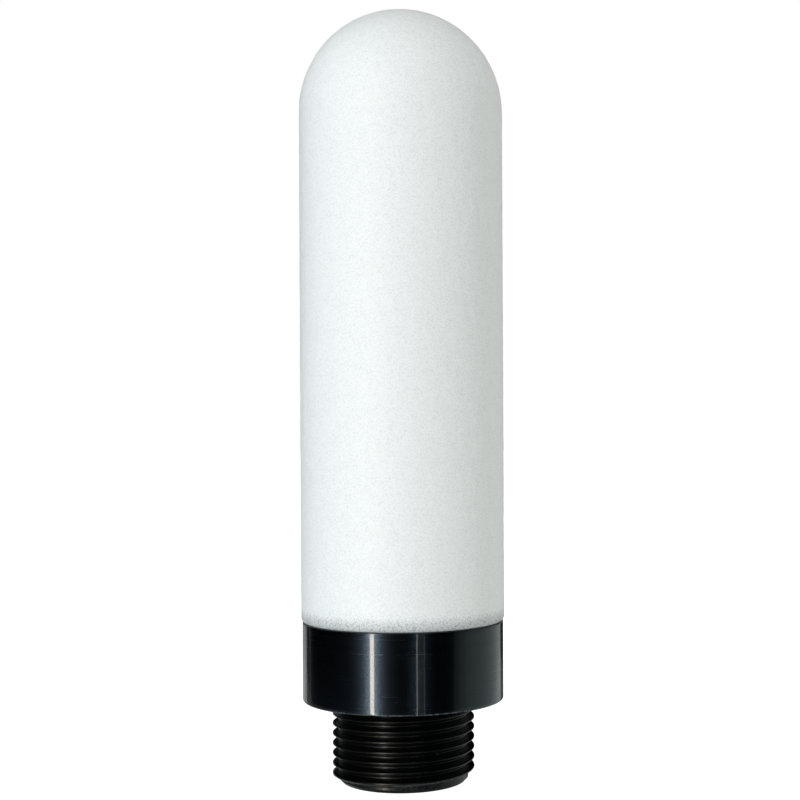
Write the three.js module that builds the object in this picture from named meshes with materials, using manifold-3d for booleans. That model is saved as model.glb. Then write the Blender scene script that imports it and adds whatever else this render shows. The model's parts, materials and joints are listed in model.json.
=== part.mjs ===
// A one-inch pneumatic exhaust muffler, as a three.js scene graph.
//
// Compressed air enters through the bore of a black threaded base, fills the hollow of a white
// sintered-polyethylene body and leaves through that body's porous wall. The body's neck stands in
// a socket inside the base's collar and is held there by a thin cup of potting resin.
//
// Units are millimetres, +Z is up. The origin is the centre of the threaded spigot's end face.
import * as THREE from "three";
import { mergeVertices } from "three/addons/utils/BufferGeometryUtils.js";
import Module from "manifold-3d";

const wasm = await Module();
wasm.setup();

// ---- Driving dimensions ----------------------------------------------------------------------

const SEGMENTS = 64; // facets round every turned surface
const TURN = 2 * Math.PI;
const QUARTER = Math.PI / 2;

const OVERALL_LENGTH = 180;

// G 1 parallel pipe thread, right-hand: 11 threads to the inch, 55 degree flanks.
const PITCH = 25.4 / 11;
const MAJOR_RADIUS = 33.249 / 2;
const MINOR_RADIUS = 30.291 / 2;
const FLANK_ANGLE = THREE.MathUtils.degToRad(27.5);
const CREST_HEIGHT_AT_X = 0.81; // height that a crest would have where the helix first crosses +X
const THREAD_START = 0.42; // turns past that crossing where the ridge begins
const THREAD_RAMP = 0.06; // turns in which it rises from the root to its full height

const SPIGOT_LENGTH = 19;
const END_RADIUS = 14.4; // of the spigot's flat end face
const END_CHAMFER = 0.8; // 45 degrees, from the end face out to the plain end below the thread
const BORE_RADIUS = 12;
const BORE_CHAMFER = 0.5;

const COLLAR_RADIUS = 23.5;
const COLLAR_HEIGHT = 18.25;
const COLLAR_CHAMFER = 0.4;
const COLLAR_WALL = 2.2; // round the socket
const FLOOR_THICKNESS = 4.75; // between the socket and the seating face

const BODY_RADIUS = 23.8;
const BODY_WALL = 6;
const SHOULDER_FILLET = 1.2; // on the body's lower outer edge
const NECK_CHAMFER = 0.8;

const RESIN_FILM = 0.3; // between neck and socket wall, and under the neck
const RESIN_TOP_GAP = 1.5; // the resin stops this far below the collar's rim
const RESIN_BEAD = 1; // squeezed out over the floor, past the neck's inner edge

// ---- Heights and radii that follow from them -------------------------------------------------

const SEAT_Z = SPIGOT_LENGTH;
const FLOOR_Z = SEAT_Z + FLOOR_THICKNESS;
const RIM_Z = SEAT_Z + COLLAR_HEIGHT;
const NECK_Z = FLOOR_Z + RESIN_FILM;
const DOME_Z = OVERALL_LENGTH - BODY_RADIUS;
const SOCKET_RADIUS = COLLAR_RADIUS - COLLAR_WALL;
const NECK_RADIUS = SOCKET_RADIUS - RESIN_FILM;
const CHAMBER_RADIUS = BODY_RADIUS - BODY_WALL;

// ---- Helpers ---------------------------------------------------------------------------------

// Points on an arc in the (radius, height) plane, ends included.
function arc(radius, height, size, from, to, steps) {
  return Array.from({ length: steps + 1 }, (_, i) => {
    const angle = from + ((to - from) * i) / steps;
    return [radius + size * Math.cos(angle), height + size * Math.sin(angle)];
  });
}

// A closed profile of [radius, height] points turned round the Z axis.
function revolve(profile) {
  const points = profile.map(([radius, height]) => new THREE.Vector2(Math.max(radius, 0), height));
  return new THREE.LatheGeometry(points, SEGMENTS).rotateX(QUARTER);
}

function toSolid(geometry) {
  const bare = new THREE.BufferGeometry();
  bare.setAttribute("position", geometry.getAttribute("position"));
  bare.setIndex(geometry.getIndex());
  const merged = mergeVertices(bare, 1e-4);
  return new wasm.Manifold(
    new wasm.Mesh({
      numProp: 3,
      vertProperties: new Float32Array(merged.getAttribute("position").array),
      triVerts: new Uint32Array(merged.getIndex().array),
    }),
  );
}

function toGeometry(solid) {
  const mesh = solid.getMesh();
  const geometry = new THREE.BufferGeometry();
  geometry.setAttribute("position", new THREE.BufferAttribute(mesh.vertProperties, mesh.numProp));
  geometry.setIndex(new THREE.BufferAttribute(mesh.triVerts, 1));
  geometry.computeVertexNormals();
  return geometry;
}

function addPiece(group, name, geometry, look) {
  const piece = new THREE.Mesh(geometry, new THREE.MeshStandardMaterial(look));
  piece.name = name;
  group.add(piece);
}

// ---- Threaded base ---------------------------------------------------------------------------

// The ridge's share of its full height, so many turns along the helix.
function ridgeHeight(turns) {
  return THREE.MathUtils.clamp((turns - THREAD_START) / THREAD_RAMP, 0, 1);
}

// A rod with the thread on it, longer than the spigot at both ends, and plain below the thread.
// Four lines run along the helix in each pitch: the two edges of the crest, then the two of the root.
function threadedRod() {
  const flank = (MAJOR_RADIUS - MINOR_RADIUS) * Math.tan(FLANK_ANGLE);
  const halfFlat = (PITCH / 2 - flank) / 2;
  const lines = [
    { offset: -halfFlat, depth: MAJOR_RADIUS - MINOR_RADIUS },
    { offset: halfFlat, depth: MAJOR_RADIUS - MINOR_RADIUS },
    { offset: halfFlat + flank, depth: 0 },
    { offset: PITCH - halfFlat - flank, depth: 0 },
  ];
  const firstTurn = -2;
  const turns = Math.ceil(SPIGOT_LENGTH / PITCH) + 4;
  const rows = turns * lines.length;
  const lastFullRow = rows - lines.length;
  const positions = [];
  for (let row = 0; row <= rows; row++) {
    const { offset, depth } = lines[row % lines.length];
    const turn = firstTurn + Math.floor(row / lines.length);
    for (let step = 0; step < SEGMENTS; step++) {
      const share = step / SEGMENTS;
      const radius = MINOR_RADIUS + depth * ridgeHeight(turn + share);
      const height = CREST_HEIGHT_AT_X + PITCH * (turn + share) + offset;
      positions.push(radius * Math.cos(TURN * share), radius * Math.sin(TURN * share), height);
    }
  }

  // After one turn a line arrives at the start of the line that lies one pitch higher.
  const at = (row, step) =>
    step < SEGMENTS ? row * SEGMENTS + step : (row + lines.length) * SEGMENTS;
  const faces = [];
  for (let row = 0; row < lastFullRow; row++) {
    for (let step = 0; step < SEGMENTS; step++) {
      const [a, b] = [at(row, step), at(row, step + 1)];
      const [c, d] = [at(row + 1, step + 1), at(row + 1, step)];
      faces.push(a, b, c, a, c, d);
    }
  }

  // Each end is closed by a fan from the axis to the line's one turn and the step that closes it.
  const closeEnd = (row, facesUp) => {
    const centre = positions.length / 3;
    positions.push(0, 0, positions[3 * at(row, SEGMENTS / 2) + 2]);
    const loop = Array.from({ length: SEGMENTS + 1 }, (_, step) => at(row, step));
    for (let i = lines.length - 1; i >= 0; i--) loop.push(at(row + i, 0));
    for (let i = 0; i + 1 < loop.length; i++) {
      const [a, b] = facesUp ? [loop[i], loop[i + 1]] : [loop[i + 1], loop[i]];
      faces.push(centre, a, b);
    }
  };
  closeEnd(0, false);
  closeEnd(lastFullRow, true);

  const geometry = new THREE.BufferGeometry();
  geometry.setAttribute("position", new THREE.Float32BufferAttribute(positions, 3));
  geometry.setIndex(faces);
  return geometry;
}

// The length of rod that is kept: a chamfer at the end face, clear of the thread above it, then up
// into the collar.
function spigotEnvelope() {
  const clear = COLLAR_RADIUS - 1;
  return revolve([
    [0, 0],
    [END_RADIUS, 0],
    [END_RADIUS + END_CHAMFER, END_CHAMFER],
    [clear, END_CHAMFER + 0.2],
    [clear, SEAT_Z + 1],
    [0, SEAT_Z + 1],
  ]);
}

function collarBlank() {
  const edge = COLLAR_RADIUS - COLLAR_CHAMFER;
  return revolve([
    [0, SEAT_Z],
    [edge, SEAT_Z],
    [COLLAR_RADIUS, SEAT_Z + COLLAR_CHAMFER],
    [COLLAR_RADIUS, RIM_Z - COLLAR_CHAMFER],
    [edge, RIM_Z],
    [0, RIM_Z],
  ]);
}

// Everything that is hollow in the base: the air bore, its mouth and the body's socket.
function passages() {
  return revolve([
    [0, -1],
    [BORE_RADIUS + BORE_CHAMFER + 1, -1],
    [BORE_RADIUS, BORE_CHAMFER],
    [BORE_RADIUS, FLOOR_Z],
    [SOCKET_RADIUS, FLOOR_Z],
    [SOCKET_RADIUS, RIM_Z + 1],
    [0, RIM_Z + 1],
  ]);
}

function threadedBase() {
  const spigot = toSolid(threadedRod()).intersect(toSolid(spigotEnvelope()));
  return toGeometry(spigot.add(toSolid(collarBlank())).subtract(toSolid(passages())));
}

// ---- Porous body -----------------------------------------------------------------------------

// A closed-ended tube under a full hemisphere, with a thinner neck below the shoulder.
function porousBody() {
  const filletRadius = BODY_RADIUS - SHOULDER_FILLET;
  const filletZ = RIM_Z + SHOULDER_FILLET;
  return revolve([
    [CHAMBER_RADIUS, NECK_Z],
    [NECK_RADIUS - NECK_CHAMFER, NECK_Z],
    [NECK_RADIUS, NECK_Z + NECK_CHAMFER],
    [NECK_RADIUS, RIM_Z],
    ...arc(filletRadius, filletZ, SHOULDER_FILLET, -QUARTER, 0, 3),
    ...arc(0, DOME_Z, BODY_RADIUS, 0, QUARTER, 12),
    ...arc(0, DOME_Z, CHAMBER_RADIUS, QUARTER, 0, 9),
    [CHAMBER_RADIUS, NECK_Z],
  ]);
}

// ---- Potting resin ---------------------------------------------------------------------------

// A thin cup: a film round the neck, a layer under it, and a low bead inside it.
function pottingResin() {
  const top = RIM_Z - RESIN_TOP_GAP;
  const inside = CHAMBER_RADIUS - RESIN_BEAD;
  return revolve([
    [inside, FLOOR_Z],
    [SOCKET_RADIUS, FLOOR_Z],
    [SOCKET_RADIUS, top],
    [NECK_RADIUS, top],
    [NECK_RADIUS, NECK_Z + NECK_CHAMFER],
    [NECK_RADIUS - NECK_CHAMFER, NECK_Z],
    [inside, NECK_Z],
    [inside, FLOOR_Z],
  ]);
}

// ---- Assembly --------------------------------------------------------------------------------

const muffler = new THREE.Group();
addPiece(muffler, "threaded_base", threadedBase(), {
  color: 0x0b0c0d,
  roughness: 0.25,
  metalness: 0,
});
addPiece(muffler, "potting_resin", pottingResin(), {
  color: 0xb9a36a,
  roughness: 0.35,
  metalness: 0,
});
addPiece(muffler, "porous_body", porousBody(), {
  color: 0xeef2f1,
  roughness: 0.85,
  metalness: 0,
});

export default muffler;
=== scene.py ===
"""The looks of a one-inch pneumatic exhaust muffler: a white porous body on a black turned base.

Every piece is a surface of two parameters, the angle round the axis and the way along a profile,
worked out as whole arrays. Sizes are in metres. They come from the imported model's boxes and
mounts where those give them, and the others are named below.
"""

import json
from math import pi, radians

import bmesh
import bpy
import numpy as np
from mathutils import Matrix, Vector


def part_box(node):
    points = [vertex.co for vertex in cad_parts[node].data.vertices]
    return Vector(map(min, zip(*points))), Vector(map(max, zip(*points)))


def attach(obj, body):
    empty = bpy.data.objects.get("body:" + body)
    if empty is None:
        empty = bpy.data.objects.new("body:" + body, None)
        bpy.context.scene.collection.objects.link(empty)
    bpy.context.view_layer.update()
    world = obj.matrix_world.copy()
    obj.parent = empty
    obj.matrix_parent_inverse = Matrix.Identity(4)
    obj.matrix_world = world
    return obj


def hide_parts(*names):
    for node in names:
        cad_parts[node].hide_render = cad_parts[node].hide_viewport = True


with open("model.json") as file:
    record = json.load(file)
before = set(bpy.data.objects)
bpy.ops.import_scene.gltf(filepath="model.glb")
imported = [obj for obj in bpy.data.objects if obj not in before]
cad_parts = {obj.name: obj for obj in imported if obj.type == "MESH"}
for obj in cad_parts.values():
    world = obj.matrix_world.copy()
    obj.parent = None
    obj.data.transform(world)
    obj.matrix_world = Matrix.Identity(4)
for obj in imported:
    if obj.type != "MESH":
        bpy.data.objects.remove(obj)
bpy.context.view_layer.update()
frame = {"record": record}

MM = 0.001

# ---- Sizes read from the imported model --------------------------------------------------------

base_low, base_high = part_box("threaded_base")
body_low, body_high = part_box("porous_body")
resin_low, resin_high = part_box("potting_resin")
mounts = {mount["name"]: mount for mount in frame["record"]["mounts"]}

COLLAR_RADIUS = base_high[0]
RIM_Z = base_high[2]
SEAT_Z = mounts["seat_face"]["pos_m"][2]
BODY_RADIUS = body_high[0]
BODY_TOP_Z = body_high[2]
NECK_Z = body_low[2]
SOCKET_RADIUS = resin_high[0]
FLOOR_Z = resin_low[2]
RESIN_TOP_Z = resin_high[2]

# ---- Sizes that the boxes can't give ---------------------------------------------------------

# G 1 parallel pipe thread, right-hand: 11 threads to the inch, rounded crests and roots.
PITCH = 25.4 / 11 * MM
CREST_RADIUS = 33.249 / 2 * MM
ROOT_RADIUS = 30.291 / 2 * MM
THREAD_ROUNDING = 0.137329 * PITCH  # the radius of crest and root alike
FLANK_ANGLE = radians(27.5)
CREST_HEIGHT_AT_X = 0.81 * MM  # height that a crest would have where the helix first crosses +X

# Places along the helix, in turns past that crossing.
THREAD_START = 0.42  # where the ridge begins
THREAD_RAMP = 0.06  # the turns in which it rises from the root to its full height
WIDE_RIDGE_FADE = (0.50, 0.58)  # where the ridge narrows to its usual width

END_RADIUS = 14.4 * MM
END_CHAMFER = 0.8 * MM
BORE_RADIUS = 12 * MM
BORE_CHAMFER = 0.5 * MM
SEAT_EDGE_BREAK = 0.4 * MM  # the collar's lower outer edge
RIM_BREAK = 0.15 * MM  # the collar's upper outer edge

BODY_WALL = 6 * MM
SHOULDER_FILLET = 1.2 * MM
NECK_CHAMFER = 0.8 * MM
RESIN_FILM = 0.3 * MM
RESIN_BEAD = 1 * MM
GRAIN_RELIEF = 0.035 * MM

DOME_Z = BODY_TOP_Z - BODY_RADIUS
CHAMBER_RADIUS = BODY_RADIUS - BODY_WALL
NECK_RADIUS = SOCKET_RADIUS - RESIN_FILM

# How fine the surfaces are.
BASE_COLUMNS = 240
BODY_COLUMNS = 320
ROWS_PER_PITCH = 26
SHARP_ANGLE = radians(45)

# ---- Camera ----------------------------------------------------------------------------------

CAMERA_DISTANCE = 346.8 * MM
CAMERA_HEIGHT = 81.4 * MM
CAMERA_SIDE = 16.5 * MM
CAMERA_LENS = 66.37
CAMERA_SHIFT = (-0.0905, 0.04)
CAMERA_ROLL = radians(-0.27)


def add_camera():
    """A level camera a little to the right of the axis, turned by a quarter of a degree."""
    data = bpy.data.cameras.new("camera")
    data.sensor_width = 36
    data.lens = CAMERA_LENS
    data.shift_x, data.shift_y = CAMERA_SHIFT
    camera = bpy.data.objects.new("camera", data)
    level = Matrix.Rotation(pi / 2, 3, "X")
    roll = Matrix.Rotation(CAMERA_ROLL, 3, "Z")
    camera.rotation_euler = (level @ roll).to_euler()
    camera.location = (CAMERA_SIDE, -CAMERA_DISTANCE, CAMERA_HEIGHT)
    bpy.context.scene.collection.objects.link(camera)
    bpy.context.scene.camera = camera


add_camera()

# ---- Surfaces --------------------------------------------------------------------------------


def line(start, end, steps):
    """Points evenly spaced from start to end in the (radius, height) plane, the last left out."""
    share = np.arange(steps)[:, None] / steps
    return np.array(start) * (1 - share) + np.array(end) * share


def arc(centre, size, start_degrees, end_degrees, steps):
    """Points on a circular arc in the (radius, height) plane, both ends included."""
    angle = np.radians(np.linspace(start_degrees, end_degrees, steps + 1))
    return np.array(centre) + size * np.column_stack([np.cos(angle), np.sin(angle)])


def same_all_round(profile, columns):
    """Radius and height grids of a profile that is the same at every angle."""
    shape = (len(profile), columns + 1)
    return np.broadcast_to(profile[:, :1], shape), np.broadcast_to(profile[:, 1:], shape)


def closed(grid):
    """The grid with its first row repeated after its last."""
    return np.concatenate([grid, grid[:1]])


def turned_surface(name, radius, height, material, marks=None):
    """A mesh on a grid of points, rows along the profile and columns round the axis.

    At a column's angle, x is the radius times its cosine and y the radius times its sine. Rows
    and columns both close on themselves: the last of each repeats the first, and points that
    coincide there, at a pole or at a clipped edge are merged. Marks are named shares from 0 to 1
    at each point, kept as attributes that the material reads.
    """
    radius, height = closed(radius), closed(height)
    rows, columns = radius.shape
    angle = np.linspace(0, 2 * pi, columns)
    x, y = radius * np.cos(angle), radius * np.sin(angle)
    points = np.column_stack([x.ravel(), y.ravel(), height.ravel()])
    index = np.arange(rows * columns).reshape(rows, columns)
    a, b = index[:-1, :-1], index[:-1, 1:]
    c, d = index[1:, 1:], index[1:, :-1]
    quads = np.stack([a, b, c, d], axis=-1).reshape(-1, 4)
    mesh = bpy.data.meshes.new(name)
    mesh.from_pydata(points, [], quads)
    for mark, share in (marks or {}).items():
        attribute = mesh.attributes.new(mark, "FLOAT", "POINT")
        attribute.data.foreach_set("value", closed(share).ravel())
    shape = bmesh.new()
    shape.from_mesh(mesh)
    bmesh.ops.remove_doubles(shape, verts=shape.verts, dist=1e-6)
    bmesh.ops.dissolve_degenerate(shape, edges=shape.edges, dist=1e-7)
    bmesh.ops.recalc_face_normals(shape, faces=shape.faces)
    shape.to_mesh(mesh)
    shape.free()
    mesh.polygons.foreach_set("use_smooth", np.ones(len(mesh.polygons), dtype=bool))
    mesh.set_sharp_from_angle(angle=SHARP_ANGLE)
    mesh.materials.append(material)
    piece = bpy.data.objects.new(name, mesh)
    bpy.context.scene.collection.objects.link(piece)
    return piece


def finish_spigot(piece, material):
    """Gives a second material to the faces of the spigot's outside, between end face and seat."""
    slack = 0.01 * MM
    mesh = piece.data
    centres = np.empty(3 * len(mesh.polygons))
    mesh.polygons.foreach_get("center", centres)
    x, y, z = centres.reshape(-1, 3).T
    outside = (z > slack) & (z < SEAT_Z - slack) & (np.hypot(x, y) > END_RADIUS)
    mesh.materials.append(material)
    mesh.polygons.foreach_set("material_index", outside.astype(np.int32))


def smooth_noise(shape, sweeps, seed):
    """Seeded random heights on a grid, averaged with their neighbours, of unit spread.

    Each sweep is a (1, 2, 1) average along columns and then rows, and both wrap at their ends.
    """
    noise = np.random.default_rng(seed).standard_normal(shape)
    for _ in range(sweeps):
        noise = (np.roll(noise, 1, axis=1) + 2 * noise + np.roll(noise, -1, axis=1)) / 4
        noise = (np.roll(noise, 1, axis=0) + 2 * noise + np.roll(noise, -1, axis=0)) / 4
    return noise / noise.std()


# ---- Materials -------------------------------------------------------------------------------


class Nodes:
    """A material's node tree, with short calls for the nodes that the materials share.

    A texture's scale is the number of its cells to the metre.
    """

    def __init__(self, name):
        self.material = bpy.data.materials.new(name)
        self.material.use_nodes = True
        self.tree = self.material.node_tree
        self.shader = self.tree.nodes["Principled BSDF"]
        self.place = self.node("ShaderNodeTexCoord").outputs["Object"]

    def node(self, kind, **settings):
        made = self.tree.nodes.new(kind)
        for key, value in settings.items():
            setattr(made, key, value)
        return made

    def link(self, source, target):
        self.tree.links.new(source, target)

    def set(self, **values):
        """Sets constants on the shader's own sockets, with underscores for spaces."""
        for key, value in values.items():
            self.shader.inputs[key.replace("_", " ")].default_value = value

    def noise(self, scale, detail=2.0, roughness=0.5, vector=None):
        made = self.node("ShaderNodeTexNoise")
        made.inputs["Scale"].default_value = scale
        made.inputs["Detail"].default_value = detail
        made.inputs["Roughness"].default_value = roughness
        self.link(vector or self.place, made.inputs["Vector"])
        return made.outputs["Fac"]

    def cells(self, scale):
        """The distance from the nearest of many scattered points."""
        made = self.node("ShaderNodeTexVoronoi")
        made.inputs["Scale"].default_value = scale
        self.link(self.place, made.inputs["Vector"])
        return made.outputs["Distance"]

    def math(self, operation, first, second):
        """Arithmetic on two values, each a number or a socket."""
        made = self.node("ShaderNodeMath", operation=operation)
        for socket, value in zip(made.inputs, (first, second)):
            if isinstance(value, (int, float)):
                socket.default_value = value
            else:
                self.link(value, socket)
        return made.outputs[0]

    def span(self, value, low, high, to_low, to_high, smooth=False):
        """The value carried from one range to another, and held at its ends."""
        made = self.node("ShaderNodeMapRange")
        made.interpolation_type = "SMOOTHSTEP" if smooth else "LINEAR"
        limits = {"From Min": low, "From Max": high, "To Min": to_low, "To Max": to_high}
        for key, number in limits.items():
            made.inputs[key].default_value = number
        self.link(value, made.inputs["Value"])
        return made.outputs["Result"]

    def colour_mix(self, first, second, blend_type):
        """A Mix node and its colour output, fed with two colours, each a tuple or a socket."""
        made = self.node("ShaderNodeMix", data_type="RGBA", blend_type=blend_type)
        inputs = [socket for socket in made.inputs if socket.type == "RGBA"]
        for socket, value in zip(inputs, (first, second)):
            if isinstance(value, tuple):
                socket.default_value = (*value, 1)
            else:
                self.link(value, socket)
        output = [socket for socket in made.outputs if socket.type == "RGBA"][0]
        return made, output

    def blend(self, share, first, second):
        """A colour between two."""
        made, output = self.colour_mix(first, second, "MIX")
        self.link(share, made.inputs["Factor"])
        return output

    def multiply(self, first, second):
        """The product of two colours."""
        made, output = self.colour_mix(first, second, "MULTIPLY")
        made.inputs["Factor"].default_value = 1
        return output

    def bump(self, height, strength, distance):
        """Turns the shader's normal by the slope of a height."""
        made = self.node("ShaderNodeBump")
        made.inputs["Strength"].default_value = strength
        made.inputs["Distance"].default_value = distance
        self.link(height, made.inputs["Height"])
        self.link(made.outputs["Normal"], self.shader.inputs["Normal"])

    def attribute(self, name):
        return self.node("ShaderNodeAttribute", attribute_name=name).outputs["Fac"]

    def height(self):
        """The height above the spigot's end face."""
        split = self.node("ShaderNodeSeparateXYZ")
        self.link(self.place, split.inputs[0])
        return split.outputs["Z"]

    def axial(self):
        """The place as (distance from the axis, 0, height), for marks that run round the axis."""
        split = self.node("ShaderNodeSeparateXYZ")
        self.link(self.place, split.inputs[0])
        flat = self.node("ShaderNodeCombineXYZ")
        self.link(split.outputs["X"], flat.inputs["X"])
        self.link(split.outputs["Y"], flat.inputs["Y"])
        length = self.node("ShaderNodeVectorMath", operation="LENGTH")
        self.link(flat.outputs[0], length.inputs[0])
        joined = self.node("ShaderNodeCombineXYZ")
        self.link(length.outputs["Value"], joined.inputs["X"])
        self.link(split.outputs["Z"], joined.inputs["Z"])
        return joined.outputs[0]


def sintered_polyethylene():
    """White grains fused at their contacts: rounded grains, pits between them, waxy light.

    Near the collar the pits are darker, from a more open skin and from painted shade at the joint,
    and the whole colour is darker there as painted shade.
    """
    n = Nodes("sintered_polyethylene")
    grains = n.cells(2900)
    pits = n.noise(2100, detail=3, roughness=0.65)
    clumps = n.noise(420, detail=2)
    height = n.height()
    # Pits deepen near the collar: partly a more open skin, partly painted shade at the joint with the
    # collar.
    open_skin_and_joint_shade = n.span(height, RIM_Z + 0.3 * MM, RIM_Z + 5.0 * MM, 1, 0, smooth=True)

    relief = n.math("SUBTRACT", n.math("MULTIPLY", pits, 0.9), n.math("MULTIPLY", grains, 0.75))
    n.bump(relief, 0.30, 0.12 * MM)

    hollow = n.math("SUBTRACT", n.math("MULTIPLY", grains, 1.2), n.math("MULTIPLY", pits, 0.6))
    shade = n.span(hollow, 0.1, 0.75, 0, 1, smooth=True)
    depth = n.math("MULTIPLY", shade, n.math("ADD", n.math("MULTIPLY", open_skin_and_joint_shade, 0.85), 0.26))
    colour = n.blend(depth, (0.892, 0.920, 0.905), (0.55, 0.59, 0.59))
    uneven = n.span(clumps, 0.35, 0.7, 0.98, 1)
    # Painted shade: the colour darkens towards the joint with the collar, carried into the tint below.
    painted_joint_shade = n.span(height, RIM_Z + 0.6 * MM, RIM_Z + 3.6 * MM, 0.68, 1, smooth=True)
    tint = n.blend(n.math("MULTIPLY", uneven, painted_joint_shade), (0.0, 0.02, 0.03), (1, 1, 1))
    n.link(n.multiply(colour, tint), n.shader.inputs["Base Color"])

    n.link(n.span(pits, 0.3, 0.7, 0.42, 0.62), n.shader.inputs["Roughness"])
    n.set(Subsurface_Weight=0.3, Subsurface_Scale=1.2 * MM, Subsurface_Radius=(1.0, 1.0, 1.0), IOR=1.5)
    return n.material


def black_acetal(name, dullness, gloss, ior, specular_level, tint):
    """Black acetal off the lathe, with fine marks that run round the axis.

    A clear gloss, broken by the marks, lies over a wider sheen. The sheen's roughness is
    dullness on average, and wanders with the marks and with a slow cloud. Specks of dust lie on
    the surface. A broken pale colour is painted where the marked share says: a painted reflection
    of the bright table under the spigot's first turn and end, and a painted highlight on the
    collar's lower edge.
    """
    n = Nodes(name)
    along = n.axial()
    fine = n.noise(5200, detail=2, vector=along)
    broad = n.noise(1500, detail=3, vector=along)
    cloud = n.noise(160, detail=3)

    marks = n.math("ADD", n.math("MULTIPLY", fine, 0.8), n.math("MULTIPLY", broad, 0.2))
    n.bump(marks, 0.5, 0.022 * MM)
    by_marks, by_cloud = 0.13, 0.06
    wander = n.math("ADD", n.math("MULTIPLY", marks, by_marks), n.math("MULTIPLY", cloud, by_cloud))
    average_wander = (by_marks + by_cloud) / 2
    n.link(n.math("ADD", wander, dullness - average_wander), n.shader.inputs["Roughness"])

    shade = n.span(broad, 0.3, 0.7, 0, 1)
    black = n.blend(shade, (0.00005, 0.0001, 0.00015), (0.00015, 0.0003, 0.0004))
    dust = n.span(n.cells(260), 0.022, 0.034, 1, 0)
    dusty = n.blend(dust, black, (0.16, 0.17, 0.17))
    # Painted reflection and highlight: a broken pale colour, by the marked share, in place of reflected
    # light.
    broken = n.span(n.noise(1500, detail=3, roughness=0.7), 0.44, 0.60, 0.1, 1)
    reflection_bloom = n.math("MULTIPLY", n.attribute("painted_reflection"), broken)
    n.link(n.blend(reflection_bloom, dusty, (0.13, 0.138, 0.138)), n.shader.inputs["Base Color"])
    n.link(n.span(marks, 0.42, 0.56, 0.74 * gloss, gloss), n.shader.inputs["Coat Weight"])
    n.set(IOR=ior, Specular_IOR_Level=specular_level, Specular_Tint=(*tint, 1))
    n.set(Coat_Roughness=0.04, Coat_IOR=1.5)
    return n.material


def amber_resin():
    """Cured amber resin, glossy, with small bubbles and a paler skin where it has run thin."""
    n = Nodes("amber_resin")
    bubbles = n.cells(1500)
    flow = n.noise(260, detail=3)
    n.bump(n.math("ADD", n.math("MULTIPLY", bubbles, 0.3), flow), 0.3, 0.1 * MM)
    shade = n.span(flow, 0.3, 0.7, 0, 1, smooth=True)
    n.link(n.blend(shade, (0.34, 0.22, 0.07), (0.62, 0.50, 0.24)), n.shader.inputs["Base Color"])
    n.link(n.span(bubbles, 0, 0.6, 0.12, 0.3), n.shader.inputs["Roughness"])
    n.set(Subsurface_Weight=0.2, Subsurface_Scale=1 * MM, IOR=1.53)
    return n.material


# ---- Turned base -----------------------------------------------------------------------------


def thread_radius(offset):
    """The spigot's radius where offset is the height above a crest's centre line.

    Rounded crest and root of equal radius, joined by straight 27.5 degree flanks.
    """
    across = np.abs((offset + PITCH / 2) % PITCH - PITCH / 2)
    rounding = THREAD_ROUNDING
    edge = rounding * np.cos(FLANK_ANGLE)
    drop = rounding * (1 - np.sin(FLANK_ANGLE))
    crest = CREST_RADIUS - rounding + np.sqrt(np.maximum(rounding**2 - across**2, 0))
    from_root = PITCH / 2 - across
    root = ROOT_RADIUS + rounding - np.sqrt(np.maximum(rounding**2 - from_root**2, 0))
    flank = CREST_RADIUS - drop - (across - edge) / np.tan(FLANK_ANGLE)
    return np.where(across < edge, crest, np.where(from_root < edge, root, flank))


def ease(value, low, high):
    """0 below low, 1 above high, and a cubic ramp between."""
    share = np.clip((value - low) / (high - low), 0, 1)
    return share * share * (3 - 2 * share)


def fall(value, low, high):
    """1 below low, 0 above high, and a cubic ramp between."""
    return ease(-value, -high, -low)


def threaded_rows(angle):
    """Radius, height and painted reflection on rows that follow the helix, held between end face and
    seat.

    A row's height is its start plus one pitch for each turn. The ridge's depth is eased in from
    the plain end over THREAD_RAMP turns, and the ridge is twice as wide below its crest until
    WIDE_RIDGE_FADE. The end chamfer cuts the plain end: the radius is the smaller of the two,
    half of their sum less the root of their squared difference plus a squared blend. The third
    share is painted reflection of the bright table below: 1 on the underside of the ridge's first
    turn and slight on the plain end.
    """
    blend = 0.03 * MM
    plain_end_reflection = 0.08
    turns = int(np.ceil(SEAT_Z / PITCH)) + 2
    start = np.arange(turns * ROWS_PER_PITCH + 1) / ROWS_PER_PITCH * PITCH - PITCH
    climb = PITCH * angle / (2 * pi)
    height = np.clip(start[:, None] + climb, 0, SEAT_Z)

    above = height - CREST_HEIGHT_AT_X - climb
    ridge = np.round(above / PITCH)
    offset = above - ridge * PITCH
    along = ridge + angle / (2 * pi)
    rise = ease(along, THREAD_START, THREAD_START + THREAD_RAMP)
    wide = 1 + fall(along, *WIDE_RIDGE_FADE)
    thread = thread_radius(np.where(offset < 0, offset / wide, offset))
    thread = ROOT_RADIUS + (thread - ROOT_RADIUS) * rise

    cone = END_RADIUS + height + 4 * np.maximum(height - END_CHAMFER, 0)
    gap = thread - cone
    radius = (thread + cone - np.sqrt(gap**2 + blend**2)) / 2

    first_turn_end = THREAD_START + 1
    first_turn = rise * fall(along, first_turn_end - THREAD_RAMP, first_turn_end)
    # Painted reflection: the first turn's underside and, faintly, the plain end take a pale colour for
    # the bright table below.
    underside = fall(offset, -0.26 * MM, -0.16 * MM) * ease(offset, -1.0 * MM, -0.8 * MM)
    plain_end = fall(radius, ROOT_RADIUS, ROOT_RADIUS + 0.1 * MM) * fall(height, 1.6 * MM, 1.9 * MM)
    return radius, height, np.maximum(first_turn * underside, plain_end_reflection * plain_end)


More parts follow.
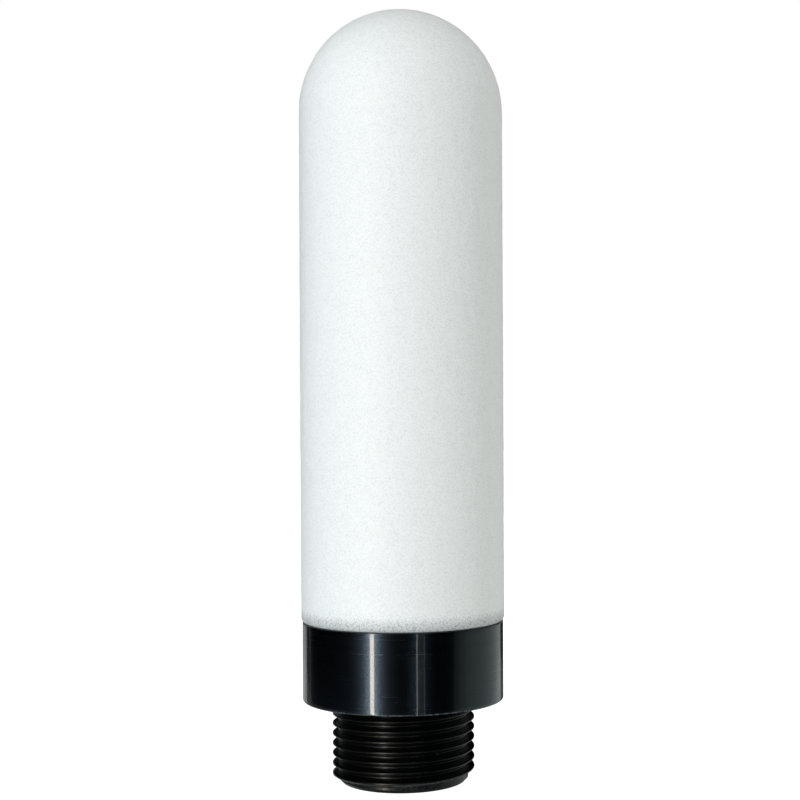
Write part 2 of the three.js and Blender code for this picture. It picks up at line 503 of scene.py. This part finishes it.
def turned_base(polished, cut):
    """One closed surface: up the threaded spigot, out under the collar, up its wall, over the rim,
    down the socket, across its floor, down the bore and back over the end face."""
    spigot_radius, spigot_height, spigot_reflection = threaded_rows(np.linspace(0, 2 * pi, BASE_COLUMNS + 1))

    clear_of_crest = CREST_RADIUS + 0.4 * MM
    seat_edge = COLLAR_RADIUS - SEAT_EDGE_BREAK
    rim_edge = COLLAR_RADIUS - RIM_BREAK
    mouth = BORE_RADIUS + BORE_CHAMFER
    profile = np.concatenate([
        line((clear_of_crest, SEAT_Z), (seat_edge, SEAT_Z), 8),
        arc((seat_edge, SEAT_Z + SEAT_EDGE_BREAK), SEAT_EDGE_BREAK, -90, 0, 5),
        line((COLLAR_RADIUS, SEAT_Z + 1 * MM), (COLLAR_RADIUS, RIM_Z - RIM_BREAK), 24),
        arc((rim_edge, RIM_Z - RIM_BREAK), RIM_BREAK, 0, 90, 5),
        line((rim_edge - 0.2 * MM, RIM_Z), (SOCKET_RADIUS, RIM_Z), 3),
        line((SOCKET_RADIUS, RIM_Z), (SOCKET_RADIUS, FLOOR_Z), 6),
        line((SOCKET_RADIUS, FLOOR_Z), (BORE_RADIUS, FLOOR_Z), 6),
        line((BORE_RADIUS, FLOOR_Z), (BORE_RADIUS, BORE_CHAMFER), 16),
        line((BORE_RADIUS, BORE_CHAMFER), (mouth, 0), 2),
        line((mouth, 0), (END_RADIUS, 0), 3),
    ])
    turned_radius, turned_height = same_all_round(profile, BASE_COLUMNS)
    # Painted highlight: the collar's lower edge break takes a pale colour for the bright line it
    # reflects.
    seat_edge_highlight = 0.9
    on_seat_edge = (profile[:, 1] < SEAT_Z + SEAT_EDGE_BREAK) & (profile[:, 0] > seat_edge + 0.05 * MM)
    turned_reflection = np.broadcast_to(seat_edge_highlight * on_seat_edge[:, None], turned_radius.shape)
    radius = np.concatenate([spigot_radius, turned_radius])
    height = np.concatenate([spigot_height, turned_height])
    painted_reflection = np.concatenate([spigot_reflection, turned_reflection])
    piece = turned_surface("turned_base", radius, height, polished, {"painted_reflection": painted_reflection})
    finish_spigot(piece, cut)
    return piece


# ---- Porous body -----------------------------------------------------------------------------


def porous_body(material):
    """A dome-ended tube: up the outside with its grain, over the dome, down the chamber, the neck.

    The outer surface is pushed along its normal by fine seeded noise. The push is the noise less
    one, times half of GRAIN_RELIEF, so that most of it is inwards, and it fades out towards the
    pole and the foot.
    """
    shoulder_radius = BODY_RADIUS - SHOULDER_FILLET
    shoulder_z = RIM_Z + SHOULDER_FILLET
    outer = np.concatenate([
        arc((shoulder_radius, shoulder_z), SHOULDER_FILLET, -90, 0, 6)[:-1],
        line((BODY_RADIUS, shoulder_z), (BODY_RADIUS, DOME_Z), 170),
        arc((0, DOME_Z), BODY_RADIUS, 0, 90, 70),
    ])
    inner = np.concatenate([
        arc((0, DOME_Z), CHAMBER_RADIUS, 90, 0, 24)[1:],
        line((CHAMBER_RADIUS, DOME_Z - 4 * MM), (CHAMBER_RADIUS, NECK_Z), 16),
        line((CHAMBER_RADIUS, NECK_Z), (NECK_RADIUS - NECK_CHAMFER, NECK_Z), 2),
        line((NECK_RADIUS - NECK_CHAMFER, NECK_Z), (NECK_RADIUS, NECK_Z + NECK_CHAMFER), 2),
        line((NECK_RADIUS, NECK_Z + NECK_CHAMFER), (NECK_RADIUS, RIM_Z), 5),
        line((NECK_RADIUS, RIM_Z), (shoulder_radius, RIM_Z), 2),
    ])

    along = np.gradient(outer, axis=0)
    normal = np.column_stack([along[:, 1], -along[:, 0]])
    normal /= np.linalg.norm(normal, axis=1, keepdims=True)
    grain = smooth_noise((len(outer), BODY_COLUMNS), sweeps=1, seed=11)
    grain = np.concatenate([grain, grain[:, :1]], axis=1)
    off_the_pole = np.clip(outer[:, :1] / (3 * MM), 0, 1)
    off_the_foot = np.clip((outer[:, 1:] - RIM_Z) / (0.5 * MM), 0, 1)
    push = (grain - 1) * GRAIN_RELIEF * 0.5 * (off_the_pole * off_the_foot)

    inner_radius, inner_height = same_all_round(inner, BODY_COLUMNS)
    radius = np.concatenate([outer[:, :1] + push * normal[:, :1], inner_radius])
    height = np.concatenate([outer[:, 1:] + push * normal[:, 1:], inner_height])
    return turned_surface("porous_sleeve", radius, height, material)


# ---- Potting resin ---------------------------------------------------------------------------


def resin_cup(material):
    """The film round the neck, the layer under it and a bead whose inner edge wanders by 0.3 mm."""
    angle = np.linspace(0, 2 * pi, BASE_COLUMNS + 1)
    bead_edge = CHAMBER_RADIUS - RESIN_BEAD
    foot = NECK_RADIUS - NECK_CHAMFER
    profile = np.concatenate([
        line((bead_edge, FLOOR_Z), (SOCKET_RADIUS, FLOOR_Z), 8),
        line((SOCKET_RADIUS, FLOOR_Z), (SOCKET_RADIUS, RESIN_TOP_Z), 6),
        line((SOCKET_RADIUS, RESIN_TOP_Z), (NECK_RADIUS, RESIN_TOP_Z), 2),
        line((NECK_RADIUS, RESIN_TOP_Z), (NECK_RADIUS, NECK_Z + NECK_CHAMFER), 6),
        line((NECK_RADIUS, NECK_Z + NECK_CHAMFER), (foot, NECK_Z), 2),
        line((foot, NECK_Z), (bead_edge + 0.4 * MM, NECK_Z), 8),
        arc((bead_edge + 0.4 * MM, FLOOR_Z), NECK_Z - FLOOR_Z, 90, 180, 5),
    ])
    wander = 0.15 * np.sin(3 * angle + 0.4) + 0.09 * np.sin(7 * angle + 2) + 0.05 * np.sin(16 * angle)
    near_edge = np.clip(1 - (profile[:, :1] - bead_edge) / (0.6 * MM), 0, 1)
    radius = profile[:, :1] + near_edge * wander * MM
    height = np.broadcast_to(profile[:, 1:], radius.shape)
    return turned_surface("resin_cup", radius, height, material)


def add_piece(piece, node):
    """Hands a piece over: the body that it rides and the node that it stands for, which it hides."""
    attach(piece, "root")
    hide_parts(node)


polished_acetal = black_acetal(
    "polished_acetal",
    dullness=0.25,
    gloss=1.0,
    ior=1.62,
    specular_level=1.0,
    tint=(0.38, 0.62, 1.0),
)
cut_acetal = black_acetal(
    "cut_acetal",
    dullness=0.36,
    gloss=0.18,
    ior=1.5,
    specular_level=0.66,
    tint=(0.72, 0.88, 1.0),
)
add_piece(turned_base(polished_acetal, cut_acetal), "threaded_base")
add_piece(porous_body(sintered_polyethylene()), "porous_body")
add_piece(resin_cup(amber_resin()), "potting_resin")

# ---- Studio ----------------------------------------------------------------------------------


LAMP_DISTANCE = 1.3  # of the tall lights from the axis
LAMP_FOOT = -1.2  # their lower edge's height
TALL_TOP = 1.4  # their upper edge's height, as a rule
LOW_TOP = 0.1  # and for those that only the black base should reflect

WHITE = (1, 1, 1)
WARM_WHITE = (1.0, 0.94, 0.76)


def area_light(name, seen_by, size_x, size_y, place, facing, radiance, colour=WHITE):
    """A rectangular light that faces a direction and is seen by matt or by glossy surfaces."""
    data = bpy.data.lights.new(name, "AREA")
    data.shape = "RECTANGLE"
    data.size, data.size_y = size_x, size_y
    data.energy = radiance * pi * size_x * size_y
    data.color = colour
    light = bpy.data.objects.new(name, data)
    light.location = place
    light.rotation_euler = Vector(facing).to_track_quat("-Z", "Y").to_euler()
    light.visible_camera = False
    light.visible_diffuse = seen_by == "matt"
    light.visible_glossy = seen_by == "gloss"
    bpy.context.scene.collection.objects.link(light)


def tall_light(name, seen_by, azimuth, width, radiance, colour=WHITE, top=TALL_TOP):
    """An upright light that faces the axis and reaches well below the object.

    Azimuth is in degrees to the right of the near side, width the angle that the light spans,
    top its upper edge's height.
    """
    turn = radians(azimuth)
    place = (LAMP_DISTANCE * np.sin(turn), -LAMP_DISTANCE * np.cos(turn), (LAMP_FOOT + top) / 2)
    facing = (-np.sin(turn), np.cos(turn), 0)
    size_x = 2 * LAMP_DISTANCE * np.tan(radians(width / 2))
    area_light(name, seen_by, size_x, top - LAMP_FOOT, place, facing, radiance, colour)


def add_gloss_lights():
    """Strips and low walls that only glossy surfaces reflect.

    A narrow warm strip at the left, two thin edges with a dim screen between them, a wall down
    the right side that brightens towards the back, one behind the left side, and a glow from the
    table below.
    """
    tall_light("strip", "gloss", -32.2, 4.5, 15.0, (1.0, 0.81, 0.62))
    tall_light("thin_edge", "gloss", 17.8, 0.85, 4.0, WARM_WHITE)
    tall_light("thin_edge_far", "gloss", 26.0, 0.8, 0.95, WARM_WHITE)
    tall_light("dim_screen", "gloss", 21.5, 7.4, 0.07, WARM_WHITE)

    wall_start, wall_step = 61.5, 7.4
    wall = (0.08, 0.14, 0.19, 0.22, 0.24, 0.25, 0.27, 0.29, 0.32, 0.36, 0.42, 0.44)
    for index, radiance in enumerate(wall):
        azimuth = wall_start + wall_step * (index + 0.5)
        colour = (1.0 - 0.006 * index, 1.0, 0.68 + 0.024 * index)
        tall_light(f"right_wall_{index}", "gloss", azimuth, wall_step, radiance, colour, LOW_TOP)
    tall_light("left_back", "gloss", -153, 26, 0.38, (1, 1, 0.97), LOW_TOP)
    tall_light("left_back_edge", "gloss", -128.5, 4, 0.10, top=LOW_TOP)
    area_light("table", "gloss", 0.5, 0.45, (0, 0.12, -0.03), (0, 0, 1), 0.08)


def add_matt_lights():
    """A key at the left, fills on all sides and a light overhead, which only matt surfaces take."""
    tall_light("key", "matt", -38, 16, 4.15, (0.985, 1.0, 1.04))
    tall_light("left_fill", "matt", -78, 30, 0.12, (0.5, 0.8, 1.5))
    tall_light("front_fill", "matt", -10, 60, 0.78, (0.97, 1.0, 1.0))
    tall_light("right_fill", "matt", 100, 50, 0.90, (1.0, 1.0, 0.99))
    tall_light("right_back_fill", "matt", 137, 33, 0.50)
    tall_light("left_back_fill", "matt", -160, 38, 0.35)
    tall_light("back_fill", "matt", 180, 24, 1.3)
    area_light("overhead", "matt", 0.8, 0.8, (0, 0, 1.4), (0, 0, -1), 1.4)


def add_world():
    """White for the camera; for everything else a soft grey, and almost dark in reflections."""
    world = bpy.data.worlds.new("studio")
    world.use_nodes = True
    tree = world.node_tree
    nodes, links = tree.nodes, tree.links
    nodes.clear()
    rays = nodes.new("ShaderNodeLightPath")

    def glow(colour, strength):
        made = nodes.new("ShaderNodeBackground")
        made.inputs["Color"].default_value = (*colour, 1)
        made.inputs["Strength"].default_value = strength
        return made.outputs[0]

    def choose(share, first, second):
        made = nodes.new("ShaderNodeMixShader")
        links.new(share, made.inputs[0])
        links.new(first, made.inputs[1])
        links.new(second, made.inputs[2])
        return made.outputs[0]

    ambient = glow((0.98, 1.0, 0.98), 0.29)
    unlit = choose(rays.outputs["Is Glossy Ray"], ambient, glow(WHITE, 0.001))
    seen = choose(rays.outputs["Is Camera Ray"], unlit, glow(WHITE, 1.0))
    output = nodes.new("ShaderNodeOutputWorld")
    links.new(seen, output.inputs["Surface"])
    bpy.context.scene.world = world


def add_floor():
    """A plain white floor just under the spigot's end face, clear when seen from below."""
    reach = 6
    z = -0.02 * MM
    mesh = bpy.data.meshes.new("floor")
    corners = [(-reach, -reach, z), (reach, -reach, z), (reach, reach, z), (-reach, reach, z)]
    mesh.from_pydata(corners, [], [(0, 1, 2, 3)])
    n = Nodes("pale_floor")
    n.set(Base_Color=(0.5, 0.5, 0.5, 1), Roughness=1.0, Specular_IOR_Level=0.0)
    n.set(Emission_Color=(*WHITE, 1), Emission_Strength=0.98)
    one_sided = n.node("ShaderNodeMixShader")
    n.link(n.node("ShaderNodeNewGeometry").outputs["Backfacing"], one_sided.inputs[0])
    n.link(n.shader.outputs[0], one_sided.inputs[1])
    n.link(n.node("ShaderNodeBsdfTransparent").outputs[0], one_sided.inputs[2])
    n.link(one_sided.outputs[0], n.tree.nodes["Material Output"].inputs["Surface"])
    mesh.materials.append(n.material)
    floor = bpy.data.objects.new("floor", mesh)
    bpy.context.scene.collection.objects.link(floor)
    for ray in ("visible_diffuse", "visible_glossy", "visible_transmission", "visible_shadow"):
        setattr(floor, ray, False)


add_gloss_lights()
add_matt_lights()
add_world()
add_floor()
bpy.context.scene.view_settings.view_transform = "Standard"
